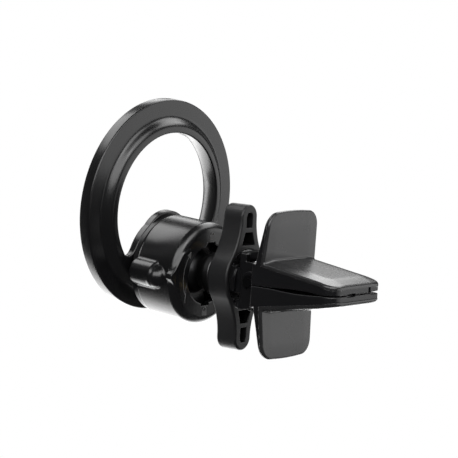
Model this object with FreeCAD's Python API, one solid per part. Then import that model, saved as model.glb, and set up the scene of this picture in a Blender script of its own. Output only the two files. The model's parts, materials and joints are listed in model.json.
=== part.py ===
import FreeCAD, Part
import math
import os

# Car phone mount: a magnetic phone ring on a ball joint, and a clamp that grips one blade of an air vent.
# Everything is modelled from the centre of the ball.
# +Y runs from the ring to the vent, +X is across, +Z is up.
# The ring, its tongue, the socket and the locking nut are one head, which leans a little on the ball.
# Last of all the model is shifted: its origin lies between the jaws, level with the front of the pads.

V = FreeCAD.Vector

# ---- driving dimensions, millimetres and degrees ----
GAP = 0.2                    # running gap between neighbouring moving pieces
FIT = 0.05                   # radial running clearance of a pin in its hole
ORIGIN_Y = 35.0              # from the ball to the origin

HEAD_PITCH = -3.9            # lean of the head about X
HEAD_YAW = -1.9              # turn of the head about Z

RING_R = 30.0                # phone ring, outside
BORE_R = 20.8                # phone ring, inside
RING_Z = 16.3                # ring centre above the ball
RING_BACK = -11.6            # flat back of the ring
BAND = 3.5                   # thickness of the ring at its rim
WALL = 1.3
LIP_H = 2.3                  # raised lip round the bore
PAD_R0, PAD_R1 = 22.3, 27.9  # silicone face pad
PAD_T = 0.75
MAGNETS = 16

TONGUE_Y0, TONGUE_Y1 = -11.0, -8.5
TONGUE_R = 13.6              # round seat behind the nut
TIP_R, TIP_Z = 9.7, 5.4      # round top of the tongue

BALL_R = 7.0
LINER_R = 8.1                # outside of the friction liners
SEAT_R = 8.2                 # spherical seat in the socket
SOCKET_R = 11.0
SOCKET_Y0, SOCKET_Y1 = -8.5, 4.5

NUT_R = 14.3
NUT_Y0, NUT_Y1 = -6.9, 7.7
NUT_ROUND = 2.3
MOUTH_R = 8.3
EAR_X, EAR_R = 14.0, 3.2     # centre and radius of an ear's round end
EAR_Y1 = 4.2

WING_Y0, WING_Y1 = 14.2, 20.8
WING_H = 20.1                # half height of the wing nut
WING_TIP_R = 3.45
WING_NECK_R = 18.0           # hollow curve between hub and blade
HUB_R = 9.1
THREAD_R = 5.5               # threaded shank of the clamp
RECESS_R = 7.9

PIVOT_Y = 27.4
PIN_R = 1.2
YOKE_X = 4.8                 # half width over the yoke's ears
CHEEK_T = 1.1
HEEL_R = 1.1
HEEL_Y, HEEL_Z = 22.0, 6.3

PAD_Y = 35.3                 # front of the pads, near the axis
PAD_LEAN = 0.06              # slope of a pad's front
PAD_W = 11.8                 # half width of pads and jaws
PAD_H = 20.1                 # half height over both pads
PAD_TAPER = 0.55             # a pad's end is this much narrower on each side
PAD_CORNER = 4.4
PAD_BACK_Y = 32.7            # back of the pads, which get thinner towards their ends
PAD_BACK_LEAN = 0.18
SKIN = 0.9                   # soft cover on pads and jaws
JAW_TIP = 57.5
JAW_ROOT_Z, JAW_TIP_Z = 6.1, 2.7
JAW_SLOPE = (JAW_TIP_Z - JAW_ROOT_Z) / (JAW_TIP - PAD_Y)
JAW_GAP = 0.12               # half gap between the closed jaws
JAW_CORNER = 3.6
CROWN_H = 0.75               # raised middle of a jaw's outside
CROWN_SIDE, CROWN_TIP = 3.9, 3.6


# ---- shape helpers: every round body here turns about a line along Y or X ----
def cyl_y(r, y0, y1, x=0.0, z=0.0):
    return Part.makeCylinder(r, y1 - y0, V(x, y0, z), V(0, 1, 0))


def tube_y(r0, r1, y0, y1, x=0.0, z=0.0):
    return cyl_y(r1, y0, y1, x, z).cut(cyl_y(r0, y0 - 1, y1 + 1, x, z))


def cyl_x(r, x0, x1, y, z):
    return Part.makeCylinder(r, x1 - x0, V(x0, y, z), V(1, 0, 0))


def box(x0, x1, y0, y1, z0, z1):
    return Part.makeBox(x1 - x0, y1 - y0, z1 - z0, V(x0, y0, z0))


def revolve(outline, z=0.0):
    """Turn an outline of (radius, y) points about the Y line at height z."""
    wire = Part.makePolygon([V(r, y, z) for r, y in outline + outline[:1]])
    return Part.Face(wire).revolve(V(0, 0, z), V(0, 1, 0), 360)


def prism_x(outline, x0, x1):
    """Extrude an outline of (y, z) points along X."""
    wire = Part.makePolygon([V(x0, y, z) for y, z in outline + outline[:1]])
    return Part.Face(wire).extrude(V(x1 - x0, 0, 0))


def prism_y(outline, y0, y1):
    """Extrude an outline of (x, z) points along Y."""
    wire = Part.makePolygon([V(x, y0, z) for x, z in outline + outline[:1]])
    return Part.Face(wire).extrude(V(0, y1 - y0, 0))


def arc(cx, cy, r, a0, a1, n=8):
    """Points on an arc, as a list of pairs."""
    angles = [math.radians(a0 + (a1 - a0) * i / n) for i in range(n + 1)]
    return [(cx + r * math.cos(a), cy + r * math.sin(a)) for a in angles]


def fuse(first, *rest):
    shape = first
    for other in rest:
        shape = shape.fuse(other)
    return shape.removeSplitter()


def mirror_z(shape):
    return shape.mirror(V(0, 0, 0), V(0, 0, 1))


def round_edges(shape, radius, chosen):
    """Fillet the edges whose middle point passes the test."""
    edges = [e for e in shape.Edges if chosen(e.valueAt((e.FirstParameter + e.LastParameter) / 2), e)]
    return shape.makeFillet(radius, edges)


def turned_y(shape, angle, z=0.0):
    turned = shape.copy()
    turned.rotate(V(0, 0, z), V(0, 1, 0), angle)
    return turned


# ---- the head: ring, tongue, socket, nut ----
def bore_fillet(side, radius=4.0):
    """Web in the corner between the tongue and the ring's bore, hollowed by a round of that radius."""
    reach, inner = TONGUE_R + radius, BORE_R - radius
    z = (reach ** 2 - inner ** 2 + RING_Z ** 2) / (2 * RING_Z)
    x = math.sqrt(reach ** 2 - z ** 2)
    on_seat = (x * TONGUE_R / reach, z * TONGUE_R / reach)
    on_bore = (x * BORE_R / inner, RING_Z + (z - RING_Z) * BORE_R / inner)
    below = (on_bore[0] + 0.6, on_bore[1] - 9.0)
    corners = [on_seat, on_bore, below, (6.0, -4.0)]
    web = prism_y([(side * px, pz) for px, pz in corners], TONGUE_Y0, TONGUE_Y1)
    web = web.common(cyl_y(BORE_R + 0.7, TONGUE_Y0, TONGUE_Y1, 0, RING_Z))
    return web.cut(cyl_y(radius, TONGUE_Y0 - 1, TONGUE_Y1 + 1, side * x, z))


def ring_housing():
    y0 = RING_BACK - BAND
    lip = RING_BACK + LIP_H
    outline = [(RING_R, y0 + 0.3), (RING_R, RING_BACK - 0.8)]
    outline += arc(RING_R - 0.8, RING_BACK - 0.8, 0.8, 22, 90, 4)
    outline += [(24.4, RING_BACK), (23.7, RING_BACK + 0.25), (23.1, RING_BACK + 0.95)]
    outline += arc(22.1, lip - 0.8, 0.8, 45, 90, 3)
    outline += arc(BORE_R + 0.7, lip - 0.7, 0.7, 90, 180, 5)
    outline += [(BORE_R, y0 + 2.0), (BORE_R + 0.9, y0), (BORE_R + 1.4, y0)]
    outline += [(BORE_R + 1.4, RING_BACK - WALL), (RING_R - WALL, RING_BACK - WALL)]
    outline += [(RING_R - WALL, y0), (RING_R - 0.3, y0)]
    ring = revolve(outline, RING_Z)
    tongue = fuse(cyl_y(TONGUE_R, TONGUE_Y0, TONGUE_Y1), cyl_y(TIP_R, TONGUE_Y0, TONGUE_Y1, 0, TIP_Z))
    tongue = round_edges(tongue, 0.6, lambda m, e: m.z > 4 and m.y > TONGUE_Y1 - 0.1 and e.Length > 3)
    body = fuse(ring, tongue, bore_fillet(1), bore_fillet(-1))
    for x, z in SCREW_PLACES:
        body = body.cut(cyl_y(1.15, TONGUE_Y0 - 3, TONGUE_Y1 + 1, x, z))
        body = body.cut(cyl_y(2.1, TONGUE_Y0 - 6, TONGUE_Y0 + 1.1, x, z))
    return body


SCREW_PLACES = [(0.0, 10.6), (8.2, 2.4), (-8.2, 2.4)]


def base_screws():
    screws = []
    for x, z in SCREW_PLACES:
        head = cyl_y(1.95, TONGUE_Y0 - 0.3, TONGUE_Y0 + 1.1, x, z)
        recess = box(x - 1.2, x + 1.2, TONGUE_Y0 - 1, TONGUE_Y0 + 0.4, z - 0.25, z + 0.25)
        cross = box(x - 0.25, x + 0.25, TONGUE_Y0 - 1, TONGUE_Y0 + 0.4, z - 1.2, z + 1.2)
        screws.append(head.cut(fuse(recess, cross)).fuse(cyl_y(1.0, TONGUE_Y0 + 1.1, TONGUE_Y1 + 1.6, x, z)))
    return Part.makeCompound(screws)


def ring_face_plate():
    y0 = RING_BACK - BAND
    return tube_y(BORE_R + 1.45, RING_R - WALL - 0.05, y0, y0 + 0.7, 0, RING_Z)


def face_pad():
    y0 = RING_BACK - BAND
    pad = tube_y(PAD_R0, PAD_R1, y0 - PAD_T, y0, 0, RING_Z)
    return round_edges(pad, 0.35, lambda m, e: m.y < y0 - PAD_T + 0.01)


def shunt_ring():
    y1 = RING_BACK - WALL
    return tube_y(22.7, 27.7, y1 - 0.4, y1, 0, RING_Z)


def ring_magnets():
    """Curved magnet segments, side by side with a small gap, each its own solid."""
    y1 = RING_BACK - WALL - 0.45
    step = 360.0 / MAGNETS
    blank = tube_y(23.0, 27.4, y1 - 0.9, y1, 0, RING_Z)
    half = math.radians(step / 2 - 0.6)
    far = 40.0
    across = far * math.tan(half)
    wedge = prism_y([(0, RING_Z), (-across, RING_Z + far), (across, RING_Z + far)], y1 - 2, y1 + 1)
    segment = blank.common(wedge)
    return Part.makeCompound([turned_y(segment, step * (i + 0.5), RING_Z) for i in range(MAGNETS)])


def sphere_zone(r0, r1, polar0, polar1):
    """Part of a hollow sphere between two angles from the +Y axis."""
    shell = Part.makeSphere(r1).cut(Part.makeSphere(r0))
    reach = 20.0
    a0, a1 = math.radians(polar0), math.radians(polar1)
    far0, far1 = (reach * math.sin(a0), reach * math.cos(a0)), (reach * math.sin(a1), reach * math.cos(a1))
    outline = [(0, 0), far0, (reach * 1.5, far0[1]), (reach * 1.5, far1[1]), far1]
    return shell.common(revolve(outline))


def front_liner():
    return sphere_zone(BALL_R + 0.05, LINER_R, 62, 84)


def rear_liner():
    return sphere_zone(BALL_R + 0.05, LINER_R, 100, 155)


def socket_base():
    """Screwed to the tongue; a threaded cup whose split fingers close round the ball."""
    body = fuse(cyl_y(13.7, SOCKET_Y0, NUT_Y0 - GAP - 0.1), cyl_y(SOCKET_R, SOCKET_Y0, 1.4),
                revolve([(0, 1.4), (SOCKET_R, 1.4), (9.4, SOCKET_Y1), (0, SOCKET_Y1)]))
    seat = Part.makeSphere(SEAT_R).common(box(-20, 20, -7.7, 20, -20, 20))
    body = body.cut(seat)
    for i in range(6):
        slot = box(-0.6, 0.6, -2.0, 10, 4.0, 15)
        body = body.cut(turned_y(slot, 30 + 60 * i))
    for i in range(4):
        y = -5.6 + 1.5 * i
        body = body.cut(revolve([(SOCKET_R + 1, y), (SOCKET_R - 0.5, y + 0.45),
                                 (SOCKET_R - 0.5, y + 0.65), (SOCKET_R + 1, y + 1.1)]))
    for x, z in SCREW_PLACES:
        body = body.cut(cyl_y(1.0, SOCKET_Y0 - 1, TONGUE_Y1 + 1.6, x, z))
    return body.cut(grip_ring(0.02))


def arc_wire(pieces):
    """Closed wire in the XZ plane from the arcs (x, z, radius, start, end) and the straight sides
    (x0, z0, x1, z1) of its right half, mirrored to the left."""
    edges = []
    for side in (1, -1):
        for piece in pieces:
            if len(piece) == 4:
                x0, z0, x1, z1 = piece
                edges.append(Part.makeLine(V(side * x0, 0, z0), V(side * x1, 0, z1)))
                continue
            cx, cz, r, a0, a1 = piece
            angles = [math.radians(a) for a in (a0, (a0 + a1) / 2, a1)]
            ends = [V(side * (cx + r * math.cos(a)), 0, cz + r * math.sin(a)) for a in angles]
            edges.append(Part.Arc(*ends).toShape())
    return Part.Wire(Part.__sortEdges__(edges))


def ear_outline():
    """Section of the nut's rear part: a round body with an ear on each side, joined by hollows."""
    hollow = 1.2
    reach, span = NUT_R + hollow, EAR_R + hollow
    x = (reach ** 2 - span ** 2 + EAR_X ** 2) / (2 * EAR_X)
    z = math.sqrt(reach ** 2 - x ** 2)
    to_body = math.degrees(math.atan2(z, x))
    to_ear = math.degrees(math.atan2(-z, EAR_X - x)) + 180
    return arc_wire([(0, 0, NUT_R, 90, to_body), (x, z, hollow, to_body + 180, to_ear + 180),
                     (EAR_X, 0, EAR_R, to_ear, -to_ear), (x, -z, hollow, -to_ear - 180, -to_body - 180),
                     (0, 0, NUT_R, -to_body, -90)])


def lock_nut():
    """Round nut with ball-ended ears; a lug on each side of the front face points at the ear behind it."""
    ear_end = EAR_Y1 - EAR_R
    shoulder = arc(NUT_R - NUT_ROUND, NUT_Y1 - NUT_ROUND, NUT_ROUND, 0, 90, 6)
    body = revolve([(0, NUT_Y0), (NUT_R - 0.6, NUT_Y0), (NUT_R, NUT_Y0 + 0.6)] + shoulder + [(0, NUT_Y1)])
    ears = Part.Face(ear_outline()).extrude(V(0, ear_end - NUT_Y0, 0))
    ears.translate(V(0, NUT_Y0, 0))
    ears = ears.common(revolve([(0, NUT_Y0), (NUT_R + 2.3, NUT_Y0), (NUT_R + 3.5, NUT_Y0 + 1.2),
                                (NUT_R + 3.5, ear_end), (0, ear_end)]))
    body = body.fuse(ears)
    for side in (1, -1):
        body = body.fuse(Part.makeSphere(EAR_R, V(side * EAR_X, ear_end, 0)))
        lug = [(11.0, -5.0)] + arc(14.1, 0, 1.3, -55, 55, 4) + [(11.0, 5.0)]
        body = body.fuse(prism_y([(side * x, z) for x, z in lug], NUT_Y1 - 2.1, NUT_Y1))
    bore = revolve([(0, NUT_Y0 - 1), (SOCKET_R + 0.1, NUT_Y0 - 1), (SOCKET_R + 0.1, 1.6), (9.2, 5.6),
                    (MOUTH_R, 6.2), (MOUTH_R, NUT_Y1 + 1), (0, NUT_Y1 + 1)])
    body = body.cut(bore)
    for i in range(2):
        body = body.cut(turned_y(box(-1.6, 1.6, 5.0, NUT_Y1 + 1, 0, MOUTH_R + 0.65), 180 * i))
    return body.removeSplitter().fuse(nut_marks())


def nut_marks():
    """Raised signs on the front face: a closed padlock, an open one, and an arrow on each side."""
    y0, y1 = NUT_Y1 - 0.3, NUT_Y1 + 0.15
    marks = []
    for side, lift in ((1, 0.0), (-1, 0.55)):
        z = side * 10.75
        marks.append(box(-1.0, 1.0, y0, y1, z - 0.95, z + 0.35))
        top = z + 0.3 + lift
        marks.append(tube_y(0.4, 0.75, y0, y1, 0, top).common(box(-1, 1, y0, y1, top, z + 3)))
        marks.append(box(-0.75, -0.4, y0, y1, z + 0.2, top))
        if side > 0:
            marks.append(box(0.4, 0.75, y0, y1, z + 0.2, top))
    band = tube_y(10.4, 10.8, y0, y1)
    for side in (1, -1):
        marks.append(band.common(prism_y([(0, 0), (side * 16, -9.5), (side * 16, 9.5)], y0, y1)))
        head = prism_y([(side * 9.6, -0.1), (side * 10.6, 1.6), (side * 11.6, -0.1)], y0, y1)
        marks.append(turned_y(head, -side * 30))
    return marks[0].fuse(marks[1:])


def grip_ring(grow=0.0):
    """Rubber ring between the nut and the socket that stops the nut working loose."""
    return Part.makeTorus(SOCKET_R - 0.15, 0.2 + grow, V(0, -0.6, 0), V(0, 1, 0))


# ---- the clamp ----
def ball_stud():
    collar = [(0, 0), (BALL_R - 0.6, 0), (4.7, 5.2), (4.2, 6.0), (4.3, 6.8), (4.9, 7.8), (5.8, 8.9), (6.0, 9.6)]
    collar += [
              (6.0, 11.6), (5.6, 12.0), (2.0, 12.0), (2.0, 19.0), (1.6, 19.4), (0, 19.4)]
    return fuse(Part.makeSphere(BALL_R), revolve(collar))


def clamp_shank():
    """Threaded sleeve that holds the stud, with a forked end for the pivot pin."""
    sleeve = [(2.03, 12.0), (THREAD_R - 0.5, 12.0), (THREAD_R, 12.5), (THREAD_R, 21.0), (2.03, 21.0)]
    body = revolve(sleeve)
    for i in range(6):
        y = 13.0 + 1.25 * i
        body = body.cut(revolve([(THREAD_R + 1, y), (THREAD_R - 0.45, y + 0.4),
                                 (THREAD_R - 0.45, y + 0.5), (THREAD_R + 1, y + 0.9)]))
    h = 3.4
    ear = [(20.9, -h), (20.9, h), (28.0, h)] + arc(28.0, 0, h, 75, -75, 8) + [(28.0, -h)]
    ears = prism_x(ear, -YOKE_X, YOKE_X)
    slot = box(-3.4, 3.4, 23.2, 40, -5, 5)
    for z0, z1 in ((h, 10), (-10, -h)):
        body = body.cut(box(-10, 10, 19.3, 25, z0, z1))
    body = fuse(body, ears.cut(slot)).cut(cyl_y(2.03, 10, 19.5))
    return body.cut(cyl_x(PIN_R, -9, 9, PIVOT_Y, 0))


def pivot_pin():
    x1 = YOKE_X + 2 * (GAP + CHEEK_T)
    pin = cyl_x(PIN_R, -x1 - 0.9, x1 + 0.9, PIVOT_Y, 0)
    for side in (1, -1):
        pin = pin.cut(cyl_x(PIN_R + 1, -0.2, 0.2, PIVOT_Y, 0).cut(cyl_x(0.8, -1, 1, PIVOT_Y, 0))
                      .translated(V(side * (x1 + 0.45), 0, 0)))
    return pin


def pin_clips():
    """A spring clip in the groove at each end of the pivot pin."""
    x1 = YOKE_X + 2 * (GAP + CHEEK_T) + 0.45
    clips = []
    for side in (1, -1):
        ring = cyl_x(2.0, side * x1 - 0.17, side * x1 + 0.17, PIVOT_Y, 0)
        ring = ring.cut(cyl_x(0.82, side * x1 - 1, side * x1 + 1, PIVOT_Y, 0))
        mouth = box(side * x1 - 1, side * x1 + 1, PIVOT_Y - 0.7, PIVOT_Y + 0.7, -3, 0)
        clips.append(ring.cut(mouth))
    return Part.makeCompound(clips)


def wing_outline():
    """Hub and blades of the wing nut, joined by hollow curves that are tangent to both."""
    tip = WING_H - WING_TIP_R
    x = WING_TIP_R + WING_NECK_R
    z = math.sqrt((HUB_R + WING_NECK_R) ** 2 - x ** 2)
    turn = math.degrees(math.atan2(z, x))
    r = WING_TIP_R
    return arc_wire([(0, tip, r, 90, 0), (r, tip, r, z), (x, z, WING_NECK_R, 180, 180 + turn),
                     (0, 0, HUB_R, turn, -turn), (x, -z, WING_NECK_R, 180 - turn, 180), (r, -z, r, -tip),
                     (0, -tip, r, 0, -90)])


def wing_nut():
    body = Part.Face(wing_outline()).extrude(V(0, WING_Y1 - WING_Y0, 0))
    body.translate(V(0, WING_Y0, 0))
    body = body.cut(cyl_y(RECESS_R, WING_Y1 - 1.35, WING_Y1 + 1)).cut(cyl_y(7.0, WING_Y0 - 1, WING_Y1 + 1))
    pockets = [[(-1.3, 13.7), (1.3, 13.7), (1.35, 16.9), (0.75, 17.9), (-0.75, 17.9), (-1.35, 16.9)],
               [(-2.9, 8.9), (2.9, 8.9), (2.2, 10.6), (1.55, 12.5), (-1.55, 12.5), (-2.2, 10.6)]]
    for outline in pockets:
        cut = prism_y(outline, WING_Y1 - 5.0, WING_Y1 + 1)
        body = body.cut(cut).cut(turned_y(cut, 180))
    return body


def wing_bush():
    """Brass threaded bush moulded into the wing nut."""
    return tube_y(THREAD_R + 0.08, 7.0, WING_Y0, WING_Y1 - 1.35)


def thrust_washer():
    return tube_y(THREAD_R + 0.1, RECESS_R - 0.15, WING_Y1 - 1.3, WING_Y1 - 0.1)


def jaw_plan_cutter():
    """Keeps a jaw's round outer corners; seen along Z, as (x, y)."""
    r = JAW_CORNER
    right = [(PAD_W, 20)] + arc(PAD_W - r, JAW_TIP - r, r, 0, 90, 8)
    points = right + [(-x, y) for x, y in reversed(right)]
    wire = Part.makePolygon([V(x, y, -1) for x, y in points + points[:1]])
    return Part.Face(wire).extrude(V(0, 0, 31))


def pad_face_y(z):
    return PAD_Y + PAD_LEAN * (abs(z) - 9.0)


def pad_back_y(z):
    return PAD_BACK_Y + PAD_BACK_LEAN * (abs(z) - 9.0)


def claw_side(skin=0.0):
    """Side outline of the L of a claw, as (y, z), set back by the cover's thickness where it is covered."""
    top_tip = JAW_TIP_Z - skin
    crown_y = JAW_TIP - CROWN_TIP
    crown_z = JAW_TIP_Z - JAW_SLOPE * CROWN_TIP + CROWN_H - skin
    outline = [(pad_back_y(PAD_H), PAD_H - skin), (pad_face_y(PAD_H) - skin, PAD_H - skin)]
    corner_y = pad_face_y(JAW_ROOT_Z) - skin
    outline += [(corner_y, JAW_ROOT_Z + 1.9 - skin), (corner_y + 0.35, JAW_ROOT_Z + 1.1 - skin)]
    outline += [(corner_y + 1.2, JAW_ROOT_Z + JAW_SLOPE * 1.2 + CROWN_H - skin), (crown_y, crown_z)]
    outline += [(JAW_TIP, top_tip), (JAW_TIP, JAW_GAP), (JAW_TIP - 5, JAW_GAP), (JAW_TIP - 9, 0.6)]
    outline += [(JAW_TIP - 13, 0.75), (JAW_TIP - 17, 0.6), (JAW_TIP - 21, 0.2), (31.0, 0.2), (31.0, 6.4)]
    outline += [(pad_back_y(7.6), 7.6)]
    return outline


def pad_plan_cutter():
    """Keeps the pad's outline: slightly narrower and crowned at its end; seen along Y, as (x, z)."""
    r = PAD_CORNER
    corner = arc(PAD_W - PAD_TAPER - r, PAD_H - 0.25 - r, r, 4, 84, 8)
    right = [(PAD_W, -1.0), (PAD_W, JAW_ROOT_Z + 1.5)] + corner + [(3.6, PAD_H - 0.06), (0, PAD_H)]
    return prism_y(right + [(-x, z) for x, z in reversed(right[:-1])], 20, 70)


def crown_cutter(side, skin):
    """Wedge above the sloping border along one side of a jaw."""
    z = JAW_ROOT_Z - JAW_SLOPE * (PAD_Y - 30) - skin
    rise = CROWN_H / CROWN_SIDE
    points = [(PAD_W + 1, z - rise), (PAD_W - CROWN_SIDE - 1, z + CROWN_H + rise), (PAD_W + 1, z + 8)]
    wire = Part.makePolygon([V(side * x, 30, h) for x, h in points + points[:1]])
    wedge = Part.Face(wire).extrude(V(0, 40, 40 * JAW_SLOPE))
    return wedge.common(box(-20, 20, pad_face_y(9) - skin, 70, -1, 12))


def claw_blank(skin=0.0):
    slab = prism_x(claw_side(skin), -PAD_W, PAD_W)
    for side in (1, -1):
        slab = slab.cut(crown_cutter(side, skin))
    return slab.common(pad_plan_cutter()).common(jaw_plan_cutter())


TIP_NOTCHES = [(-9.6, -6.2, 0.45), (-5.6, -4.8, 1.7), (1.5, 5.0, 0.45)]


def upper_claw(inner):
    """L-shaped claw with two cheeks on the pivot pin and a heel bar that the washer pushes."""
    x0 = YOKE_X + GAP + (0 if inner else CHEEK_T + GAP)
    x1 = x0 + CHEEK_T
    reach = 5.3 if inner else 7.7
    rear = 22.6 if inner else 23.7
    cheek = [(rear, reach), (34.0, min(reach, 6.2)), (34.0, 0.5), (PIVOT_Y + 3.4, 0.5)]
    cheek += arc(PIVOT_Y, 0, 3.0, 0, -150, 8) + [(rear + 1.3, -1.0)]
    body = claw_blank(SKIN).cut(box(-x0, x0, 20, 33.0, -5, 5.2 if inner else 5.6))
    for side in (1, -1):
        plate = prism_x(cheek, min(side * x0, side * x1), max(side * x0, side * x1))
        body = body.fuse(plate)
    z0, z1 = HEEL_Z - HEEL_R, HEEL_Z + HEEL_R
    bar = cyl_x(HEEL_R, -4.5, 4.5, HEEL_Y, HEEL_Z)
    body = body.fuse([bar, box(-4.5, 4.5, HEEL_Y, 25.0, z0, z1), box(-x1, x1, HEEL_Y + 0.9, 25.0, z0, z1)])
    body = body.cut(cyl_x(PIN_R + FIT, -12, 12, PIVOT_Y, 0))
    body = body.cut(box(-x0, x0, PIVOT_Y - 4.6, PIVOT_Y + 5.0, -4.0, 4.6))
    for x_from, x_to, z_to in TIP_NOTCHES:
        body = body.cut(box(x_from, x_to, JAW_TIP - 0.9, 60, -1, z_to))
    return body.removeSplitter()


def claw_cover():
    """Soft cover over the front of the pad and the outside of the jaw."""
    cover = claw_blank(0.0).cut(prism_x(claw_side(SKIN), -PAD_W - 1, PAD_W + 1))
    keep = box(-20, 20, pad_face_y(JAW_ROOT_Z) - SKIN - 0.4, 70, JAW_GAP + 0.2, 30)
    return cover.common(keep)


def jaw_grip():
    """Ribbed rubber strip on the inside of a jaw."""
    strip = box(-8.5, 8.5, JAW_TIP - 16.5, JAW_TIP - 9.5, JAW_GAP + 0.1, 0.61)
    for i in range(4):
        strip = strip.cut(box(-9, 9, JAW_TIP - 15.6 + 1.6 * i, JAW_TIP - 15.0 + 1.6 * i, 0, JAW_GAP + 0.3))
    return strip


def claw_spring():
    """Torsion spring round the pivot pin; its legs push the jaws apart."""
    wire_r, coil_r, turns = 0.4, 1.9, 4
    pitch = 1.0
    helix = Part.makeHelix(pitch, pitch * turns, coil_r)
    start = V(coil_r, 0, 0)
    profile = Part.Wire([Part.makeCircle(wire_r, start, V(0, 1, 0))])
    coil = Part.Wire(helix.Edges).makePipeShell([profile], True, True)
    coil.rotate(V(0, 0, 0), V(0, 1, 0), 90)
    coil.translate(V(-pitch * turns / 2, PIVOT_Y, 0))
    legs = []
    for side in (1, -1):
        x = side * pitch * turns / 2
        leg = Part.makeCylinder(wire_r, 4.1, V(x, PIVOT_Y, -coil_r), V(0, 1, 0))
        legs.append(leg)
    return fuse(coil, *legs)


# ---- put together and written out ----
def head_pose(shape):
    posed = shape.copy()
    posed.rotate(V(0, 0, 0), V(1, 0, 0), HEAD_PITCH)
    posed.rotate(V(0, 0, 0), V(0, 0, 1), HEAD_YAW)
    return posed


HEAD = {"ring_housing": ring_housing, "ring_face_plate": ring_face_plate, "face_pad": face_pad,
        "shunt_ring": shunt_ring, "ring_magnets": ring_magnets, "base_screws": base_screws,
        "socket_base": socket_base, "lock_nut": lock_nut, "grip_ring": grip_ring,
        "front_liner": front_liner, "rear_liner": rear_liner}
CLAMP = {"ball_stud": ball_stud, "clamp_shank": clamp_shank, "pivot_pin": pivot_pin, "pin_clips": pin_clips,
         "wing_nut": wing_nut, "wing_bush": wing_bush, "thrust_washer": thrust_washer,
         "upper_claw": lambda: upper_claw(True), "lower_claw": lambda: mirror_z(upper_claw(False)),
         "upper_cover": claw_cover, "lower_cover": lambda: mirror_z(claw_cover()),
         "upper_grip": jaw_grip, "lower_grip": lambda: mirror_z(jaw_grip()), "claw_spring": claw_spring}

os.makedirs("parts", exist_ok=True)
for name, make in {**HEAD, **CLAMP}.items():
    shape = head_pose(make()) if name in HEAD else make()
    shape.translate(V(0, -ORIGIN_Y, 0))
    shape.exportStep("parts/" + name + ".step")
    print(name, shape.isValid(), len(shape.Solids), round(shape.Volume, 1))
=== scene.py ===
import json
import math

import bpy
import numpy as np
from mathutils import Matrix, Vector


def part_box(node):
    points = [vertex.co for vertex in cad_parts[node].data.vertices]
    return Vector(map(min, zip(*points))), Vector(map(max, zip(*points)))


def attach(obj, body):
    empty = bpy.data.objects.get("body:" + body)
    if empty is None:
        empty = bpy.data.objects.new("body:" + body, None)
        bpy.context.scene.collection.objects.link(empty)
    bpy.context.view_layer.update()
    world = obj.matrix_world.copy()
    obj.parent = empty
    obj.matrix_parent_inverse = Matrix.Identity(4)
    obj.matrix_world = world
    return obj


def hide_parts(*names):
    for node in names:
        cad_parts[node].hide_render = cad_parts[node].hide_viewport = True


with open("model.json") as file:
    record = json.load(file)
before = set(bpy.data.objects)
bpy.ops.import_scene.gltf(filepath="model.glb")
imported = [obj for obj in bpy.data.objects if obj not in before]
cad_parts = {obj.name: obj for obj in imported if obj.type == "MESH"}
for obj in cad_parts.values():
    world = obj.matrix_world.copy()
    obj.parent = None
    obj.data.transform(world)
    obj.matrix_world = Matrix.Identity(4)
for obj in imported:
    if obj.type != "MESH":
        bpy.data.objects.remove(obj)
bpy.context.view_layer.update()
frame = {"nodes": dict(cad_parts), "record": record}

# Shapes are worked out in millimetres from the centre of the ball, which the ball stud's own box gives.
# Y runs from the phone's ring to the air vent, and Z is up. HEAD turns and tilts the ring and nut about the ball.
# Each detailed piece is a distance field: negative inside, and built up from rounds, slabs and outlines
# that are joined or cut with a rounded edge. skin() turns the field into a mesh. The ring is simply turned.

MM = 0.001
PITCH = 0.2       # size of a mesh cell
COVER_PITCH, MARKS_PITCH = 0.8 * PITCH, 0.13
RING_STEPS = 288
BLOCK = 4                    # cells along the side of a block that is first tried as a whole
BLOCK_REACH = 1.1            # a block farther from the surface than this many block sides isn't looked into
SLOPE_STEP = 0.02            # for a field's slope
NEWTON_STEPS = 4
BALL_R = 7.0
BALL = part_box("ball_stud")[0] + Vector((0, BALL_R * MM, 0))
BALL.x = BALL.z = 0.0
HEAD = Matrix.Rotation(math.radians(-1.9), 4, "Z") @ Matrix.Rotation(math.radians(-3.9), 4, "X")
AT_BALL = Matrix.Translation(BALL) @ Matrix.Scale(MM, 4)

# Y0 and Y1 are a piece's two ends along Y, W and H half its width and height, and R a radius.
RING_R, BORE_R, RING_Z, RING_BACK, RING_FRONT = 30.0, 20.8, 16.3, -11.6, -15.1
TROUGH_R0, TROUGH_R1, TROUGH_Y = 22.25, 28.7, -12.9
TONGUE_Y0, TONGUE_Y1, TONGUE_R, TONGUE_DROP = -11.0, -8.5, 13.6, 0.85
NUT_R, NUT_Y0, NUT_Y1 = 14.3, -6.9, 7.7
SOCKET_R, MOUTH_R, NOTCH_W, NOTCH_H, NOTCH_Y0 = 11.1, 8.3, 1.6, 8.95, 5.0
EAR_X, EAR_Z, EAR_R, EAR_Y1, EAR_END_R = 13.5, -0.8, 3.7, 1.2, 3.1
LUG_Y0 = 5.5
NECK_R, COLLAR_R, COLLAR_Y1 = 4.1, 6.0, 12.0
WING_Y0, WING_Y1, WING_H, WING_TIP_R, WING_NECK_R = 14.2, 20.8, 20.1, 3.45, 18.0
HUB_R, HUB_STEP_R, HUB_STEP, HUB_BORE_R, POCKET_DEPTH = 9.1, 7.9, 1.35, 7.0, 5.0
PIVOT_Y, PIN_HOLE_R = 27.4, 1.25
PAD_Y, PAD_W, PAD_H, PAD_TAPER, PAD_CORNER = 35.3, 11.8, 20.1, 0.55, 4.4
PAD_LEAN, PAD_BACK_Y, PAD_BACK_LEAN, LEAN_Z = 0.06, 32.7, 0.18, 9.0      # slopes, about height LEAN_Z
JAW_TIP, JAW_ROOT_Z, JAW_TIP_Z, JAW_CORNER, CLAW_Y0 = 57.5, 6.1, 2.7, 3.6, 31.0
JAW_GAP, GAP_BOW, GAP_Y0, GAP_LENGTH = 0.12, 0.36, 38.0, 15.0
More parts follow.
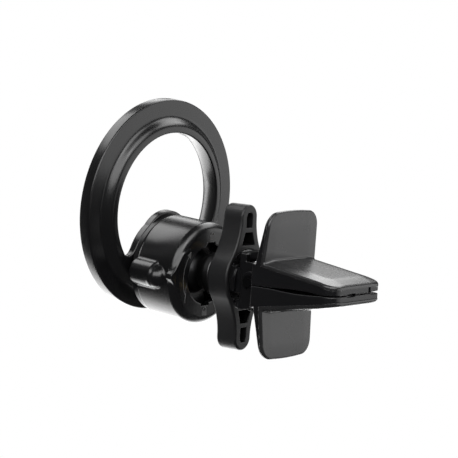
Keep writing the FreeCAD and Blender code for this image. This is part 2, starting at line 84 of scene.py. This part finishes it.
SKIN, LAP = 0.9, 0.15        # thickness of a cover, and how far it reaches over its frame, out of sight
CROWN_H, PAD_CROWN, CROWN_SIDE, CROWN_BEND, CROWN_CORNER = 0.75, 0.16, 3.9, 0.7, 6.0
CHEEK_X, CHEEK_GAP, CHEEK_STEP, CHEEK_T = 4.8, 0.2, 1.3, 1.1
HEEL_AT, HEEL_R, HEEL_W, HEEL_ARM_W = (22.0, 6.3), 1.1, 4.5, 4.6
MARKS_DEPTH, MARKS_HEIGHT, ARROW_R, ARROW_T, LOCK_Z = 0.2, 0.15, 10.6, 0.2, 10.75
SHACKLE_R, SHACKLE_T, SHACKLE_Z, SHACKLE_LIFT = 0.58, 0.17, 0.3, 0.55


# ---------------------------------------------------------------- distance fields
def both(a, b, r=0.01):
    """What is inside both fields, with its new edge rounded to radius r."""
    return np.minimum(-r, np.maximum(a, b)) + np.hypot(np.maximum(a + r, 0), np.maximum(b + r, 0))


def join(a, b, r=0.01):
    """What is inside either field, with a fillet of radius r where they meet."""
    return -both(-a, -b, r)


def cut(a, b, r=0.01):
    return both(a, -b, r)


def disc(u, v, r, at=(0.0, 0.0)):
    return np.hypot(u - at[0], v - at[1]) - r


def slab(u, low, high):
    return np.maximum(low - u, u - high)


def brick(x, y, z, xs, ys, zs, r=0.2):
    return both(both(slab(x, *xs), slab(y, *ys), r), slab(z, *zs), r)


def soften(corners, steps=6):
    """Outline of (u, v, size) corners, each replaced by a curve that starts that far before it."""
    points = []
    for i, (u, v, size) in enumerate(corners):
        here = Vector((u, v))
        before = Vector(corners[i - 1][:2]) - here
        after = Vector(corners[(i + 1) % len(corners)][:2]) - here
        if not size:
            points.append((u, v))
            continue
        p0, p1 = here + before.normalized() * size, here + after.normalized() * size
        for k in range(steps + 1):
            t = k / steps
            p = p0 * (1 - t) ** 2 + here * 2 * t * (1 - t) + p1 * t * t
            points.append((p.x, p.y))
    return points


def outline(u, v, points):
    """Distance to a closed outline."""
    near = np.full(np.shape(u), 1e9)
    inside = np.zeros(np.shape(u), bool)
    for (au, av), (bu, bv) in zip(points, points[1:] + points[:1]):
        eu, ev = bu - au, bv - av
        length = eu * eu + ev * ev
        if length < 1e-12:
            continue
        wu, wv = u - au, v - av
        t = np.clip((wu * eu + wv * ev) / length, 0, 1)
        near = np.minimum(near, (wu - eu * t) ** 2 + (wv - ev * t) ** 2)
        left = eu * wv > ev * wu
        inside ^= ((v >= av) & (v < bv) & left) | ((v < av) & (v >= bv) & ~left)
    return np.where(inside, -1, 1) * np.sqrt(near)


def arc(cu, cv, r, a0, a1, n=8):
    angles = [math.radians(a0 + (a1 - a0) * i / n) for i in range(n + 1)]
    return [(cu + r * math.cos(a), cv + r * math.sin(a)) for a in angles]


# ---------------------------------------------------------------- field to mesh
def skin(name, field, low, high, pitch=PITCH, place=Matrix.Identity(4)):
    """Mesh of the field's zero surface: one point in each cell that it crosses, moved onto it."""
    axes = [np.arange(a - pitch, b + 2 * pitch, pitch) for a, b in zip(low, high)]
    rough = field(*np.meshgrid(*[v[BLOCK // 2::BLOCK] for v in axes], indexing="ij"))
    for k, line in enumerate(axes):
        rough = np.take(rough, np.minimum(np.arange(len(line)) // BLOCK, rough.shape[k] - 1), k)
    solid = rough < 0
    near = np.nonzero(np.abs(rough) < BLOCK_REACH * BLOCK * pitch)
    solid[near] = field(*[axes[k][near[k]] for k in range(3)]) < 0
    corners = [solid[i:solid.shape[0] - 1 + i, j:solid.shape[1] - 1 + j, k:solid.shape[2] - 1 + k]
               for i in (0, 1) for j in (0, 1) for k in (0, 1)]
    crossed = np.any(corners, 0) & ~np.all(corners, 0)
    index = np.full(crossed.shape, -1)
    index[crossed] = np.arange(crossed.sum())
    cells = np.argwhere(crossed)
    centre = np.stack([axes[k][0] + (cells[:, k] + 0.5) * pitch for k in range(3)], 1)
    points = centre.copy()
    for _ in range(NEWTON_STEPS):
        here = field(*points.T)
        slope = np.stack([(field(*(points + SLOPE_STEP * e).T) - field(*(points - SLOPE_STEP * e).T))
                          / (2 * SLOPE_STEP) for e in np.eye(3)], 1)
        size = np.maximum((slope ** 2).sum(1), 0.05)
        points -= (here / size)[:, None] * slope
        points = np.clip(points, centre - 0.9 * pitch, centre + 0.9 * pitch)
    normals = slope / np.linalg.norm(slope, axis=1)[:, None].clip(1e-6)
    quads = []
    for axis in range(3):
        a, b = [k for k in range(3) if k != axis]
        low_side, high_side = [np.take(solid, range(s, solid.shape[axis] - 1 + s), axis) for s in (0, 1)]
        edges = np.argwhere(low_side != high_side)
        edges = edges[(edges[:, a] > 0) & (edges[:, b] > 0)]
        outward = low_side[tuple(edges.T)]
        if axis == 1:
            outward = ~outward
        ring = []
        for da, db in ((0, 0), (1, 0), (1, 1), (0, 1)):
            cell = edges.copy()
            cell[:, a] -= 1 - da
            cell[:, b] -= 1 - db
            ring.append(index[tuple(cell.T)])
        ring = np.stack(ring, 1)
        ring[~outward] = ring[~outward][:, ::-1]
        quads.append(ring)
    quads = np.concatenate(quads)
    matrix = np.array(AT_BALL @ place)
    placed = points @ matrix[:3, :3].T + matrix[:3, 3]
    facing = normals @ np.array(place)[:3, :3].T
    mesh = bpy.data.meshes.new(name)
    mesh.from_pydata(placed.tolist(), [], quads.tolist())
    mesh.polygons.foreach_set("use_smooth", np.ones(len(mesh.polygons), bool))
    mesh.update()
    mesh.normals_split_custom_set_from_vertices(facing.tolist())
    piece = bpy.data.objects.new(name, mesh)
    bpy.context.scene.collection.objects.link(piece)
    return piece


# ---------------------------------------------------------------- the pieces' shapes
RING_SECTION = soften([(RING_R, RING_FRONT, 0.3), (RING_R, RING_BACK, 0.55), (24.9, RING_BACK, 1.1),
                       (23.2, -9.3, 1.3), (BORE_R, -9.2, 0.45), (BORE_R, -12.3, 0), (22.0, RING_FRONT, 0),
                       (TROUGH_R0, RING_FRONT, 0), (TROUGH_R0, TROUGH_Y, 0),
                       (TROUGH_R1, TROUGH_Y, 0), (TROUGH_R1, RING_FRONT, 0)])


def turned(name, section, z, steps, place):
    """Solid of revolution about the Y line at height z, from a closed section of (radius, y) points."""
    verts, faces = [], []
    count = len(section)
    for i in range(steps):
        a = 2 * math.pi * i / steps
        verts += [(r * math.cos(a), y, z + r * math.sin(a)) for r, y in section]
        j = (i + 1) % steps
        for k in range(count):
            m = (k + 1) % count
            faces.append((i * count + k, i * count + m, j * count + m, j * count + k))
    mesh = bpy.data.meshes.new(name)
    mesh.from_pydata(verts, [], faces)
    mesh.transform(AT_BALL @ place)
    mesh.polygons.foreach_set("use_smooth", np.ones(len(mesh.polygons), bool))
    mesh.set_sharp_from_angle(angle=math.radians(35))
    piece = bpy.data.objects.new(name, mesh)
    bpy.context.scene.collection.objects.link(piece)
    return piece


def tongue_field(x, y, z):
    """The tongue behind the nut, and the web that joins it to the ring's bore with a wide fillet."""
    rho = np.hypot(x, z - RING_Z)
    plan = np.minimum(disc(x, z, TONGUE_R), disc(x, z, 9.7, (0, 5.4)))
    web = both(join(plan, BORE_R + 0.2 - rho, 4.0), rho - BORE_R - 0.9)
    near_tongue = both(web, plan - 7.0)
    top = TONGUE_Y1 - TONGUE_DROP * np.clip((rho - 17.0) / 4.0, 0, 1)
    return both(near_tongue, np.maximum(TONGUE_Y0 - y, y - top), 0.45)


LUG = soften([(9.0, 7.5, 0), (9.0, -7.5, 0), (11.6, -6.0, 0.6), (14.2, -1.7, 1.2),
              (15.6, -0.6, 0.4), (15.6, 0.6, 0.4), (14.2, 1.7, 1.2), (11.6, 6.0, 0.6)], 4)
BORE = [(-1, -9), (SOCKET_R, -9), (SOCKET_R, 1.6), (9.2, 5.6), (MOUTH_R, 6.3), (MOUTH_R, 9), (-1, 9)]


def nut_field(x, y, z):
    """Round nut with a ball-ended ear and a pointed lug on each side, and two notches in its mouth."""
    side = np.abs(x)
    body = both(both(disc(x, z, NUT_R), y - NUT_Y1, 2.3), NUT_Y0 - y, 0.9)
    h = z * np.sign(x) - EAR_Z
    ear = both(disc(side, h, EAR_R, (EAR_X, 0)), slab(y, NUT_Y0, EAR_Y1), 0.9)
    end = np.sqrt((side - EAR_X - 0.5) ** 2 + (h + 0.3) ** 2 + (y - EAR_Y1) ** 2) - EAR_END_R
    body = join(body, join(ear, end, 0.5), 0.6)
    lug = both(outline(side, z, LUG), slab(y, LUG_Y0, NUT_Y1), 0.3)
    body = join(body, lug, 0.5)
    body = cut(body, outline(np.hypot(x, z), y, BORE), 0.3)
    notch = np.maximum(slab(x, -NOTCH_W, NOTCH_W), np.maximum(np.abs(z) - NOTCH_H, NOTCH_Y0 - y))
    return cut(body, notch, 0.15)


NECK = soften([(-1, 0, 0), (NECK_R, 0, 0), (NECK_R, 6.6, 1.5), (COLLAR_R, 9.6, 0.8), (COLLAR_R, COLLAR_Y1, 0.4),
               (-1, COLLAR_Y1, 0)])


def stud_field(x, y, z):
    rho = np.hypot(x, z)
    ball = np.sqrt(rho ** 2 + y ** 2) - BALL_R
    return join(ball, outline(rho, y, NECK), 1.2)


def wing_outline():
    """Hub and blades of the wing nut, joined by hollow curves that are tangent to both, as (x, z)."""
    tip = WING_H - WING_TIP_R
    cx = WING_TIP_R + WING_NECK_R
    cz = math.sqrt((HUB_R + WING_NECK_R) ** 2 - cx ** 2)
    start = math.degrees(math.atan2(cz, cx))
    quarter = arc(0, 0, HUB_R, 0, start, 12) + arc(cx, cz, WING_NECK_R, 180 + start, 180, 16)
    quarter += arc(0, tip, WING_TIP_R, 0, 90, 16)
    right = [(x, -z) for x, z in reversed(quarter[1:])] + quarter
    return right + [(-x, z) for x, z in reversed(right[1:-1])]


WING_OUTLINE = wing_outline()
POCKETS = [soften([(-1.3, 13.7, 0.3), (1.3, 13.7, 0.3), (1.35, 16.9, 0.6),
                   (0.75, 17.9, 0.5), (-0.75, 17.9, 0.5), (-1.35, 16.9, 0.6)], 3),
           soften([(-2.9, 8.9, 0.3), (2.9, 8.9, 0.3), (2.2, 10.6, 0.4),
                   (1.55, 12.5, 0.3), (-1.55, 12.5, 0.3), (-2.2, 10.6, 0.4)], 3)]


def wing_field(x, y, z):
    """Wing nut with a stepped bore, and two pockets in each blade."""
    rho = np.hypot(x, z)
    body = both(outline(x, z, WING_OUTLINE), slab(y, WING_Y0, WING_Y1), 0.55)
    body = cut(body, np.maximum(rho - HUB_STEP_R, WING_Y1 - HUB_STEP - y), 0.25)
    body = cut(body, rho - HUB_BORE_R, 0.25)
    for pocket in POCKETS:
        hollow = np.maximum(outline(x, np.abs(z), pocket), WING_Y1 - POCKET_DEPTH - y)
        body = cut(body, hollow, 0.15)
    return body


def pad_outline():
    """A pad from the front: slightly narrower and crowned at its end, as (x, z)."""
    end, r = PAD_H - 0.25, PAD_CORNER
    right = [(PAD_W, -6.0), (PAD_W, 7.6)] + arc(PAD_W - PAD_TAPER - r, end - r, r, 4, 84, 16)
    right += [(3.6, PAD_H - 0.06)]
    return right + [(0, PAD_H)] + [(-x, z) for x, z in reversed(right)]


PAD_OUTLINE = pad_outline()


def pad_face(z):
    return PAD_Y + PAD_LEAN * (np.abs(z) - LEAN_Z)


def jaw_top(y):
    """Height of the jaw's outer face, which falls from the pad to the tip."""
    return JAW_ROOT_Z + (JAW_TIP_Z - JAW_ROOT_Z) * (y - PAD_Y) / (JAW_TIP - PAD_Y)


def claw_plan(x, y, z):
    """The jaw's outline seen from above and the pad's seen from the front, as one limit."""
    jaw = both(np.abs(x) - PAD_W, y - JAW_TIP, JAW_CORNER)
    return np.maximum(jaw, outline(x, z, PAD_OUTLINE))


def crown(border, width):
    """0 at the rim, 1 on the panel: a straight slope that runs into the panel with a soft bend."""
    q = width - border
    return 1 - (np.hypot(q, CROWN_BEND) + q) / (2 * width)


def claw_underside(y):
    """Half the gap between the jaws: closed at the tip, open in the middle."""
    along = np.clip((y - GAP_Y0) / GAP_LENGTH, 0, 1)
    return JAW_GAP + GAP_BOW * np.sin(np.pi * along) ** 0.8


def claw_shell(x, y, z, lift=0.0):
    """Pad and jaw of a claw from outside, as two fields, their faces set back by lift."""
    side = PAD_W - np.abs(x)
    border = -both(-side, z - PAD_H, CROWN_CORNER)
    front = pad_face(z) - lift + PAD_CROWN * (crown(border, CROWN_SIDE) - 1)
    back = PAD_BACK_Y + PAD_BACK_LEAN * (np.abs(z) - LEAN_Z)
    pad = both(y - front, back - y)
    pad = both(pad, JAW_GAP + 0.3 - z)
    slope = math.hypot(1, (JAW_TIP_Z - JAW_ROOT_Z) / (JAW_TIP - PAD_Y))
    border = -both(-side, y - JAW_TIP, CROWN_CORNER)
    top = (z - jaw_top(y) - CROWN_H * crown(border, CROWN_SIDE) + lift) / slope
    jaw = both(top, claw_underside(y) - z)
    jaw = both(jaw, CLAW_Y0 - y)
    return pad, jaw


def cover_field(x, y, z):
    """Soft cover on the pad's front and the jaw's outer face."""
    plan = claw_plan(x, y, z)
    pad, jaw = claw_shell(x, y, z)
    whole = join(pad, jaw, 0.5)
    inner_pad, inner_jaw = claw_shell(x, y, z, SKIN + LAP)
    inner = np.minimum(inner_pad, inner_jaw)
    shape = cut(both(plan, whole, 0.6), inner, 0.05)
    return both(shape, pad_face(JAW_ROOT_Z) - SKIN - 0.4 - y)


# Span along X, depth and height of each notch in a jaw's tip. The last one is in the upper jaw only.
TIP_NOTCHES = [((-13, -6.2), 4.6, 0.4), ((1.5, 5.0), 0.9, 0.45), ((-5.6, -4.8), 0.9, 1.7)]
HEEL_ARM = soften([(21.2, 5.5, 0.6), (21.2, 7.3, 0.9), (27.4, 8.8, 1.0), (33.0, 9.6, 0),
                   (33.0, 6.0, 0), (25.0, 5.5, 0)])


def claw_field(inner):
    """Frame of a claw: pad, jaw, cheeks on the pin, heel bar and arm. The inner one's cheeks are closer."""
    x0 = CHEEK_X + CHEEK_GAP + (0 if inner else CHEEK_STEP)
    x1 = x0 + CHEEK_T
    reach = 5.3 if inner else 7.7
    rear = 22.6 if inner else 23.7
    cheek = [(rear, reach, 0.4), (34.0, min(reach, 6.2), 0), (34.0, 0.2, 0), (PIVOT_Y + 3.4, 0.5, 0.3)]
    cheek += [(y, z, 0) for y, z in arc(PIVOT_Y, 0, 3.0, 0, -150, 8)] + [(rear + 1.3, -1.0, 0.3)]
    cheek = soften(cheek, 3)

    def field(x, y, z):
        side = np.abs(x)
        plan = claw_plan(x, y, z)
        pad, jaw = claw_shell(x, y, z, SKIN)
        shape = both(both(np.minimum(pad, jaw), plan + 0.06, 0.25), CLAW_Y0 - y)
        ceiling = 5.2 if inner else 5.6
        shape = cut(shape, brick(x, y, z, (-x0, x0), (20, 33.0), (-5, ceiling), 0.1), 0.1)
        plate = both(outline(y, z, cheek), slab(side, x0, x1), 0.2)
        shape = join(shape, plate, 0.15)
        heel = both(disc(y, z, HEEL_R, HEEL_AT), side - HEEL_W, 0.4)
        heel = join(heel, both(outline(y, z, HEEL_ARM), side - HEEL_ARM_W, 0.9), 0.1)
        heel = join(heel, brick(x, y, z, (-x1, x1), (22.9, 25.0), (5.1, 7.4), 0.3), 0.2)
        shape = join(shape, heel, 0.3)
        shape = cut(shape, disc(y, z, PIN_HOLE_R, (PIVOT_Y, 0)), 0.1)
        for span, depth, height in TIP_NOTCHES if inner else TIP_NOTCHES[:2]:
            shape = np.maximum(shape, -brick(x, y, z, span, (JAW_TIP - depth, 60), (-1, height), 0.05))
        fork = brick(x, y, z, (-x0, x0), (PIVOT_Y - 4.6, PIVOT_Y + 5.0), (-4.0, 4.6), 0.1)
        return cut(shape, fork, 0.1)

    return field


def marks_field(x, y, z):
    """Raised signs on the nut's face: a closed padlock above, an open one below, an arrow on each side."""
    depth = slab(y, NUT_Y1 - MARKS_DEPTH, NUT_Y1 + MARKS_HEIGHT)
    rho = np.hypot(x, z)
    signs = both(np.abs(rho - ARROW_R) - ARROW_T, np.abs(z) * 0.86 - np.abs(x) * 0.5)
    a = math.radians(30)
    for side in (1, -1):
        u, v = (side * x) * math.cos(a) + z * math.sin(a), -(side * x) * math.sin(a) + z * math.cos(a)
        signs = np.minimum(signs, outline(u, v, [(ARROW_R - 1, -0.1), (ARROW_R + 1, -0.1), (ARROW_R, 1.6)]))
        lift = 0.0 if side > 0 else SHACKLE_LIFT
        h = z - side * LOCK_Z
        signs = np.minimum(signs, np.maximum(np.abs(x) - 1.0, slab(h, -0.95, 0.35)))
        bow = np.abs(np.hypot(x, h - SHACKLE_Z - lift) - SHACKLE_R) - SHACKLE_T
        bow = np.maximum(bow, SHACKLE_Z + lift - h)
        leg = np.maximum(np.abs(np.abs(x) - SHACKLE_R) - SHACKLE_T, slab(h, 0.2, SHACKLE_Z + lift))
        leg = np.maximum(leg, x) if side < 0 else leg
        signs = np.minimum(signs, np.minimum(bow, leg))
    return both(signs, depth, 0.06)


def flipped(field):
    """The same field upside down."""
    return lambda x, y, z: field(x, y, -z)


# ---------------------------------------------------------------- materials
CLOUD_SCALE = 120.0          # of the slow change in colour and roughness, per metre
ROUGH_LOW, ROUGH_HIGH = 0.92, 1.08
GRAIN_SIZE = 0.35            # mm
GRAIN_DEPTH = 0.00005        # m


def node_material(name, colour, rough, specular=0.5, metallic=0.0, grain=0.1, vary=0.2):
    """Moulded plastic, rubber or metal: colour and roughness wander a little, under a fine raised grain."""
    m = bpy.data.materials.new(name)
    m.use_nodes = True
    nodes, links = m.node_tree.nodes, m.node_tree.links
    shader = nodes["Principled BSDF"]
    shader.inputs["Metallic"].default_value = metallic
    shader.inputs["Specular IOR Level"].default_value = specular
    place = nodes.new("ShaderNodeTexCoord")
    cloud = nodes.new("ShaderNodeTexNoise")
    cloud.inputs["Scale"].default_value = CLOUD_SCALE
    cloud.inputs["Detail"].default_value = 5.0
    links.new(place.outputs["Object"], cloud.inputs["Vector"])
    tint = nodes.new("ShaderNodeMix")
    tint.data_type = "RGBA"
    tint.inputs[6].default_value = (*[c * (1 - vary) for c in colour], 1)
    tint.inputs[7].default_value = (*[min(1.0, c * (1 + vary)) for c in colour], 1)
    links.new(cloud.outputs["Fac"], tint.inputs[0])
    links.new(tint.outputs[2], shader.inputs["Base Color"])
    gloss = nodes.new("ShaderNodeMapRange")
    gloss.inputs["To Min"].default_value = rough * ROUGH_LOW
    gloss.inputs["To Max"].default_value = min(1.0, rough * ROUGH_HIGH)
    links.new(cloud.outputs["Fac"], gloss.inputs["Value"])
    links.new(gloss.outputs["Result"], shader.inputs["Roughness"])
    fine = nodes.new("ShaderNodeTexNoise")
    fine.inputs["Scale"].default_value = 1000.0 / GRAIN_SIZE
    fine.inputs["Detail"].default_value = 3.0
    links.new(place.outputs["Object"], fine.inputs["Vector"])
    bump = nodes.new("ShaderNodeBump")
    bump.inputs["Strength"].default_value = grain
    bump.inputs["Distance"].default_value = GRAIN_DEPTH
    links.new(fine.outputs["Fac"], bump.inputs["Height"])
    links.new(bump.outputs["Normal"], shader.inputs["Normal"])
    return m


RECIPES = {
    "satin_black": dict(colour=(0.003, 0.003, 0.0033), rough=0.26, grain=0.012),
    "dark_plastic": dict(colour=(0.003, 0.003, 0.0035), rough=0.30, specular=0.35, grain=0.06),
    "matte_black": dict(colour=(0.006, 0.006, 0.0065), rough=0.42, specular=0.35, grain=0.12),
    "soft_black": dict(colour=(0.010, 0.010, 0.0105), rough=0.27, grain=0.04),
    "marks": dict(colour=(0.05, 0.05, 0.05), rough=0.5),
    "silicone": dict(colour=(0.018, 0.018, 0.019), rough=0.6, grain=0.2),
    "rubber": dict(colour=(0.012, 0.012, 0.012), rough=0.65, grain=0.3),
    "steel": dict(colour=(0.62, 0.62, 0.63), rough=0.22, metallic=1.0, grain=0.05, vary=0.06),
    "dark_steel": dict(colour=(0.03, 0.03, 0.032), rough=0.3, metallic=1.0, grain=0.06, vary=0.1),
    "magnet": dict(colour=(0.55, 0.54, 0.53), rough=0.25, metallic=1.0, grain=0.05, vary=0.06),
    "nylon": dict(colour=(0.02, 0.02, 0.02), rough=0.5),
    "black_metal": dict(colour=(0.09, 0.09, 0.092), rough=0.34, metallic=1.0, grain=0.03, vary=0.1),
    "brass": dict(colour=(0.66, 0.48, 0.2), rough=0.28, metallic=1.0, grain=0.05, vary=0.08),
}
LOOKS = {name: node_material(name, **look) for name, look in RECIPES.items()}
SLOT_OF = {part["node"]: part["material_slot"] for part in frame["record"]["subparts"]}
for name, node in frame["nodes"].items():
    node.data.materials.clear()
    node.data.materials.append(LOOKS[SLOT_OF[name]])


def dress(piece, body, slot, nodes, look=None):
    """Give a piece the look it is given, or else its slot's look, put it on its body and hide the CAD nodes it
    stands for.
    """
    piece.data.materials.append(LOOKS[look or slot])
    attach(piece, body)
    if nodes:
        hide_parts(*nodes)


def make(name, field, low, high, body, slot, nodes, place=Matrix.Identity(4), look=None, pitch=PITCH):
    dress(skin(name, field, low, high, pitch, place), body, slot, nodes, look)


dress(turned("ring", RING_SECTION, RING_Z, RING_STEPS, HEAD), "head", "satin_black", ["ring_housing"])
make("tongue", tongue_field, (-21, -11.2, -13.8), (21, -8.2, 16.4), "head", "satin_black", [], HEAD)
make("nut", nut_field, (-17.4, -7, -14.4), (17.4, 7.8, 14.4), "nut", "satin_black", ["lock_nut"], HEAD)
make("nut_marks", marks_field, (-12, 7.4, -12.8), (12, 7.9, 12.8), "nut", "satin_black", [], HEAD, "marks",
     MARKS_PITCH)
make("stud", stud_field, (-7, -7, -7), (7, 12, 7), "clamp", "black_metal", ["ball_stud"])
make("wing", wing_field, (-9.2, 14.1, -20.2), (9.2, 20.9, 20.2), "wing", "matte_black", ["wing_nut"])
for word, turn, z0, z1 in (("upper", lambda field: field, -3.5, 20.2), ("lower", flipped, -20.2, 3.5)):
    span = (-11.9, 20.5, z0), (11.9, 57.6, z1)
    body = word + "_claw"
    make(word + "_frame", turn(claw_field(word == "upper")), *span, body, "dark_plastic", [body])
    make(word + "_skin", turn(cover_field), *span, body, "soft_black", [word + "_cover"], pitch=COVER_PITCH)


# ---------------------------------------------------------------- camera, stage and light
def camera(azimuth, elevation, roll, place, lens):
    """Camera at place, looking back along a direction given as for softbox(), in degrees."""
    a, e, r = (math.radians(v) for v in (azimuth, elevation, roll))
    back = Vector((math.sin(a) * math.cos(e), -math.cos(a) * math.cos(e), math.sin(e)))
    right = Vector((math.cos(a), math.sin(a), 0))
    up = right.cross(-back)
    x = right * math.cos(r) + up * math.sin(r)
    y = up * math.cos(r) - right * math.sin(r)
    data = bpy.data.cameras.new("camera")
    data.lens, data.sensor_width = lens, 36.0
    data.clip_start, data.clip_end = 0.01, 50
    cam = bpy.data.objects.new("camera", data)
    bpy.context.scene.collection.objects.link(cam)
    cam.matrix_world = Matrix((x, y, back)).transposed().to_4x4()
    cam.location = place
    bpy.context.scene.camera = cam


CAMERA_AT = Vector((392.996, 311.449, 60.14))        # fitted so that the part stands as in the photo
camera(127.138, 5.494, 3.353, BALL + CAMERA_AT * MM, 141.48)


WHITE = (1, 1, 1, 1)


def glow(name, strength):
    """White material that shines by itself."""
    m = bpy.data.materials.new(name)
    m.use_nodes = True
    nodes = m.node_tree.nodes
    nodes.remove(nodes["Principled BSDF"])
    light = nodes.new("ShaderNodeEmission")
    light.inputs["Color"].default_value = WHITE
    light.inputs["Strength"].default_value = strength
    m.node_tree.links.new(light.outputs[0], nodes["Material Output"].inputs["Surface"])
    return m


DISTANCE = 0.6               # of every lamp from the ball


def softbox(name, azimuth, elevation, width, height, strength):
    """Area light that looks at the ball; azimuth 0 is on the side the phone faces, 90 is +X."""
    a, e = math.radians(azimuth), math.radians(elevation)
    towards = Vector((math.sin(a) * math.cos(e), -math.cos(a) * math.cos(e), math.sin(e)))
    data = bpy.data.lights.new(name, "AREA")
    data.shape, data.size, data.size_y = "RECTANGLE", width, height
    data.energy = strength * width * height * math.pi
    lamp = bpy.data.objects.new(name, data)
    bpy.context.scene.collection.objects.link(lamp)
    lamp.location = BALL + towards * DISTANCE
    lamp.rotation_euler = towards.to_track_quat("Z", "Y").to_euler()
    lamp.visible_camera = False


scene = bpy.context.scene
scene.view_settings.view_transform = "Standard"
# The camera sees a white world. Everything else gets only a dim glow from it.
world = bpy.data.worlds.new("studio")
scene.world = world
world.use_nodes = True
nodes, links = world.node_tree.nodes, world.node_tree.links
bright = nodes["Background"]
bright.inputs["Color"].default_value = WHITE
dim = nodes.new("ShaderNodeBackground")
dim.inputs["Color"].default_value = WHITE
dim.inputs["Strength"].default_value = 0.06
ray = nodes.new("ShaderNodeLightPath")
mixer = nodes.new("ShaderNodeMixShader")
links.new(ray.outputs["Is Camera Ray"], mixer.inputs[0])
links.new(dim.outputs[0], mixer.inputs[1])
links.new(bright.outputs[0], mixer.inputs[2])
links.new(mixer.outputs[0], nodes["World Output"].inputs["Surface"])

# A pale floor under the part, left out of its reflections
bpy.ops.mesh.primitive_plane_add(size=6, location=(0, 0, -0.6))
floor = bpy.context.object
floor.name = "floor"
floor.data.materials.append(glow("pale_floor", 1.0))
floor.visible_glossy = False

for lamp in (         # name, azimuth, elevation, width, height, strength
        ("top", 9, 53, 0.44, 0.19, 4.3),
        ("left", -56, 28, 0.32, 0.16, 2.6),
        ("over", 124, 34, 0.94, 0.42, 4.2),
        ("past", 178, 46, 0.34, 0.34, 3.5),
        ("behind", -95, 48, 0.69, 0.26, 4.2),
        ("low", -48, -37, 1.30, 0.52, 3.8),
        ("far", -140, 4, 0.80, 0.34, 1.5),
        ("front", 8, 0, 0.16, 0.45, 6.0)):
    softbox(*lamp)
